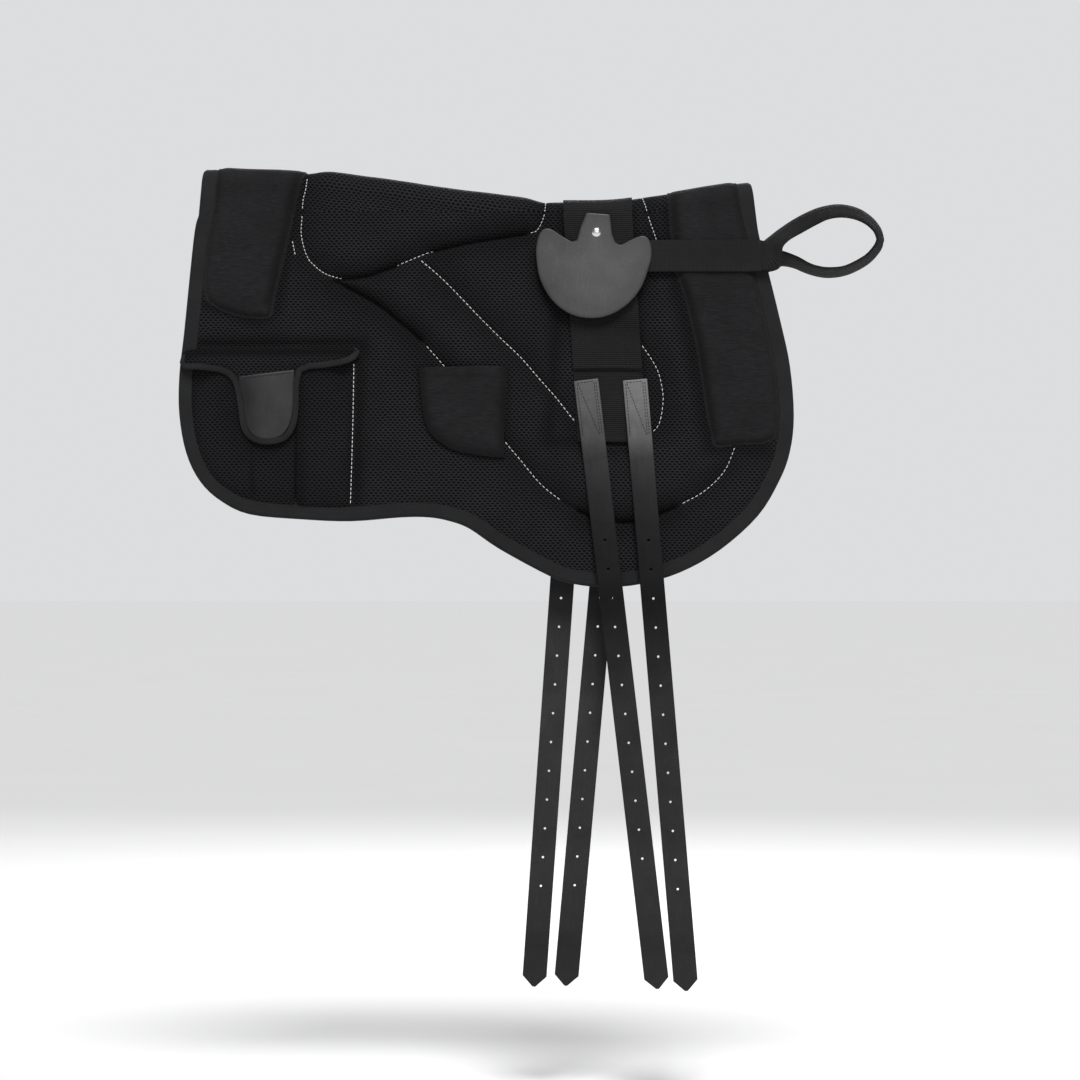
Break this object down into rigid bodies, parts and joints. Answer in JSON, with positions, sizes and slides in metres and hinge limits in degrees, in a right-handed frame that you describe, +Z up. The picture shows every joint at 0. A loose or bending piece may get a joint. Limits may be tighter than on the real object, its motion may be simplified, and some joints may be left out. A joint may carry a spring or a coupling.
{
  "type": "bareback riding pad",
  "caption": "Padded mesh bareback riding pad folded over its spine, with leather billets, flapped storage pockets, shim pockets, leather shields and a webbing grab handle.",
  "frame": {"origin": "on the axis of the channel under the spine, in the straight dip of the seat", "axes": "+X towards the front (withers) end, +Z up, the right side faces -Y"},
  "size_m": [0.7271, 0.0632, 0.8487],
  "materials": {
    "mesh": "black air mesh",
    "foam": "closed-cell foam",
    "binding": "black woven binding",
    "canvas": "black woven nylon",
    "webbing": "black ribbed webbing",
    "leather": "smooth black leather",
    "steel": "polished"
  },
  "bodies": {
    "spine": {"spine_lining": "mesh", "spine_core": "foam", "spine_cover": "mesh", "spine_binding_front": "binding", "spine_binding_rear": "binding", "spine_patch_rear": "canvas", "spine_patch_front": "canvas", "spine_web": "webbing"},
    "right_side": {"right_lining": "mesh", "right_core": "foam", "right_cover": "mesh", "right_seat_insert": "foam", "right_thigh_insert": "foam", "right_binding": "binding", "right_patch_rear": "canvas", "right_shim_rear": "foam", "right_patch_front": "canvas", "right_shim_front": "foam", "right_small_pocket": "canvas", "right_pocket": "mesh", "right_web_lower": "webbing", "right_web_upper": "webbing", "right_billet_rear_end": "leather", "right_billet_front_end": "leather", "right_shield_tab": "leather", "right_rivet": "steel", "right_handle_web": "webbing", "right_handle_half": "webbing"},
    "right_pocket_flap": {"right_pocket_flap": "mesh", "right_pocket_tab": "leather"},
    "right_billet_rear": {"right_billet_rear": "leather"},
    "right_billet_front": {"right_billet_front": "leather"},
    "right_shield_flap": {"right_shield_flap": "leather"},
    "left_side": {"left_lining": "mesh", "left_core": "foam", "left_cover": "mesh", "left_seat_insert": "foam", "left_thigh_insert": "foam", "left_binding": "binding", "left_patch_rear": "canvas", "left_shim_rear": "foam", "left_patch_front": "canvas", "left_shim_front": "foam", "left_small_pocket": "canvas", "left_pocket": "mesh", "left_web_lower": "webbing", "left_web_upper": "webbing", "left_billet_rear_end": "leather", "left_billet_front_end": "leather", "left_shield_tab": "leather", "left_rivet": "steel", "left_handle_web": "webbing", "left_handle_half": "webbing"},
    "left_pocket_flap": {"left_pocket_flap": "mesh", "left_pocket_tab": "leather"},
    "left_billet_rear": {"left_billet_rear": "leather"},
    "left_billet_front": {"left_billet_front": "leather"},
    "left_shield_flap": {"left_shield_flap": "leather"}
  },
  "joints": [
    {"name": "right_side_swing", "type": "hinge", "parent": "spine", "child": "right_side", "pos_m": [0, -0.023, 0], "axis": [-1, 0, 0], "range_deg": [0, 90]},
    {"name": "right_billet_rear_bend", "type": "hinge", "parent": "right_side", "child": "right_billet_rear", "pos_m": [0.0237, -0.0218, -0.231], "axis": [-0.9932, 0, -0.1167], "range_deg": [0, 110]},
    {"name": "right_billet_front_bend", "type": "hinge", "parent": "right_side", "child": "right_billet_front", "pos_m": [0.072, -0.0218, -0.231], "axis": [-0.9965, 0, -0.0837], "range_deg": [0, 110]},
    {"name": "right_shield_bend", "type": "hinge", "parent": "right_side", "child": "right_shield_flap", "pos_m": [0.026, -0.026, -0.024], "axis": [-1, 0, 0], "range_deg": [0, 85]},
    {"name": "right_pocket_flap_fold", "type": "hinge", "parent": "right_side", "child": "right_pocket_flap", "pos_m": [-0.307, -0.0153, -0.139], "axis": [-1, 0, 0], "range_deg": [0, 90]},
    {"name": "left_side_swing", "type": "hinge", "parent": "spine", "child": "left_side", "pos_m": [0, 0.023, 0], "axis": [1, 0, 0], "range_deg": [0, 90]},
    {"name": "left_billet_rear_bend", "type": "hinge", "parent": "left_side", "child": "left_billet_rear", "pos_m": [0.0024, 0.0218, -0.231], "axis": [0.9976, 0, -0.0698], "range_deg": [0, 110]},
    {"name": "left_billet_front_bend", "type": "hinge", "parent": "left_side", "child": "left_billet_front", "pos_m": [0.0464, 0.0218, -0.231], "axis": [0.996, 0, -0.0889], "range_deg": [0, 110]},
    {"name": "left_shield_bend", "type": "hinge", "parent": "left_side", "child": "left_shield_flap", "pos_m": [0.026, 0.026, -0.024], "axis": [1, 0, 0], "range_deg": [0, 85]},
    {"name": "left_pocket_flap_fold", "type": "hinge", "parent": "left_side", "child": "left_pocket_flap", "pos_m": [-0.307, 0.0153, -0.139], "axis": [1, 0, 0], "range_deg": [0, 90]}
  ]
}
